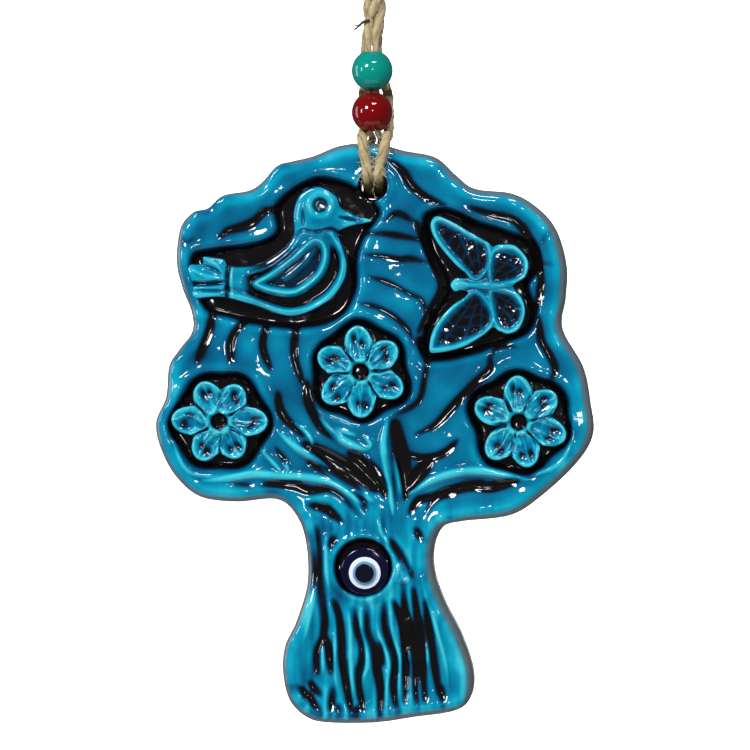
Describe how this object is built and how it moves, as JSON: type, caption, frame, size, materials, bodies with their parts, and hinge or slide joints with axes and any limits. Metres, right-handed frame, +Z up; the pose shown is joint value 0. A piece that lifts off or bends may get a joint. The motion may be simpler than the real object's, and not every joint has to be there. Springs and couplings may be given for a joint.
{
  "type": "ceramic tree of life wall ornament",
  "caption": "Turquoise glazed ceramic tree with bird, butterfly, flowers and glass eye, hung on jute twine with round beads.",
  "frame": {"origin": "the hanging point: inside the top of the twine loop, where the nail or hook goes", "axes": "+Z up; the decorated face looks towards -Y and the flat back towards +Y; +X to the viewer's right"},
  "size_m": [0.1087, 0.016, 0.2371],
  "materials": {
    "glaze": "glossy turquoise glaze, pale on ridges and near black where it pools",
    "eye_navy": "glossy opaque navy glass",
    "eye_white": "glossy opaque white glass",
    "eye_blue": "glossy light blue glass",
    "eye_pupil": "glossy black glass",
    "glue": "hardened clear-yellow glue",
    "red_glass": "glossy dark red glass",
    "teal_glass": "glossy teal glass",
    "jute": "matte plied jute twine with loose fibres"
  },
  "bodies": {
    "hanging_loop": {"hanging_loop": "jute"},
    "knot": {"top_knot": "jute", "knot_neck": "jute", "twine_end_left": "jute", "twine_end_right": "jute"},
    "twisted_cord": {"twisted_cord": "jute"},
    "tree": {"tree_slab": "glaze", "bird": "glaze", "butterfly": "glaze", "flower_left": "glaze", "flower_middle": "glaze", "flower_right": "glaze", "eye_glue": "glue", "eye_base": "eye_navy", "eye_white": "eye_white", "eye_light_blue": "eye_blue", "eye_pupil": "eye_pupil", "twine_left": "jute", "twine_right": "jute"},
    "red_bead": {"red_bead": "red_glass"},
    "teal_bead": {"teal_bead": "teal_glass"}
  },
  "joints": [
    {"name": "cord_twist", "type": "hinge", "parent": "hanging_loop", "child": "knot", "pos_m": [0, 0, -0.038], "axis": [0, 0, 1], "range_deg": [-90, 90], "stiffness_Nm_per_rad": 0.0003},
    {"name": "tree_tilt", "type": "hinge", "parent": "knot", "child": "twisted_cord", "pos_m": [0, 0, -0.0494], "axis": [1, 0, 0], "range_deg": [-20, 20]},
    {"name": "tree_swing", "type": "hinge", "parent": "twisted_cord", "child": "tree", "pos_m": [0, 0, -0.0597], "axis": [0, 1, 0], "range_deg": [-20, 20]},
    {"name": "red_bead_slide", "type": "slide", "parent": "tree", "child": "red_bead", "axis": [0, 0, 1], "range_m": [0, 0.0015]},
    {"name": "teal_bead_slide", "type": "slide", "parent": "red_bead", "child": "teal_bead", "axis": [0, 0, 1], "range_m": [0, 0.0025]}
  ]
}
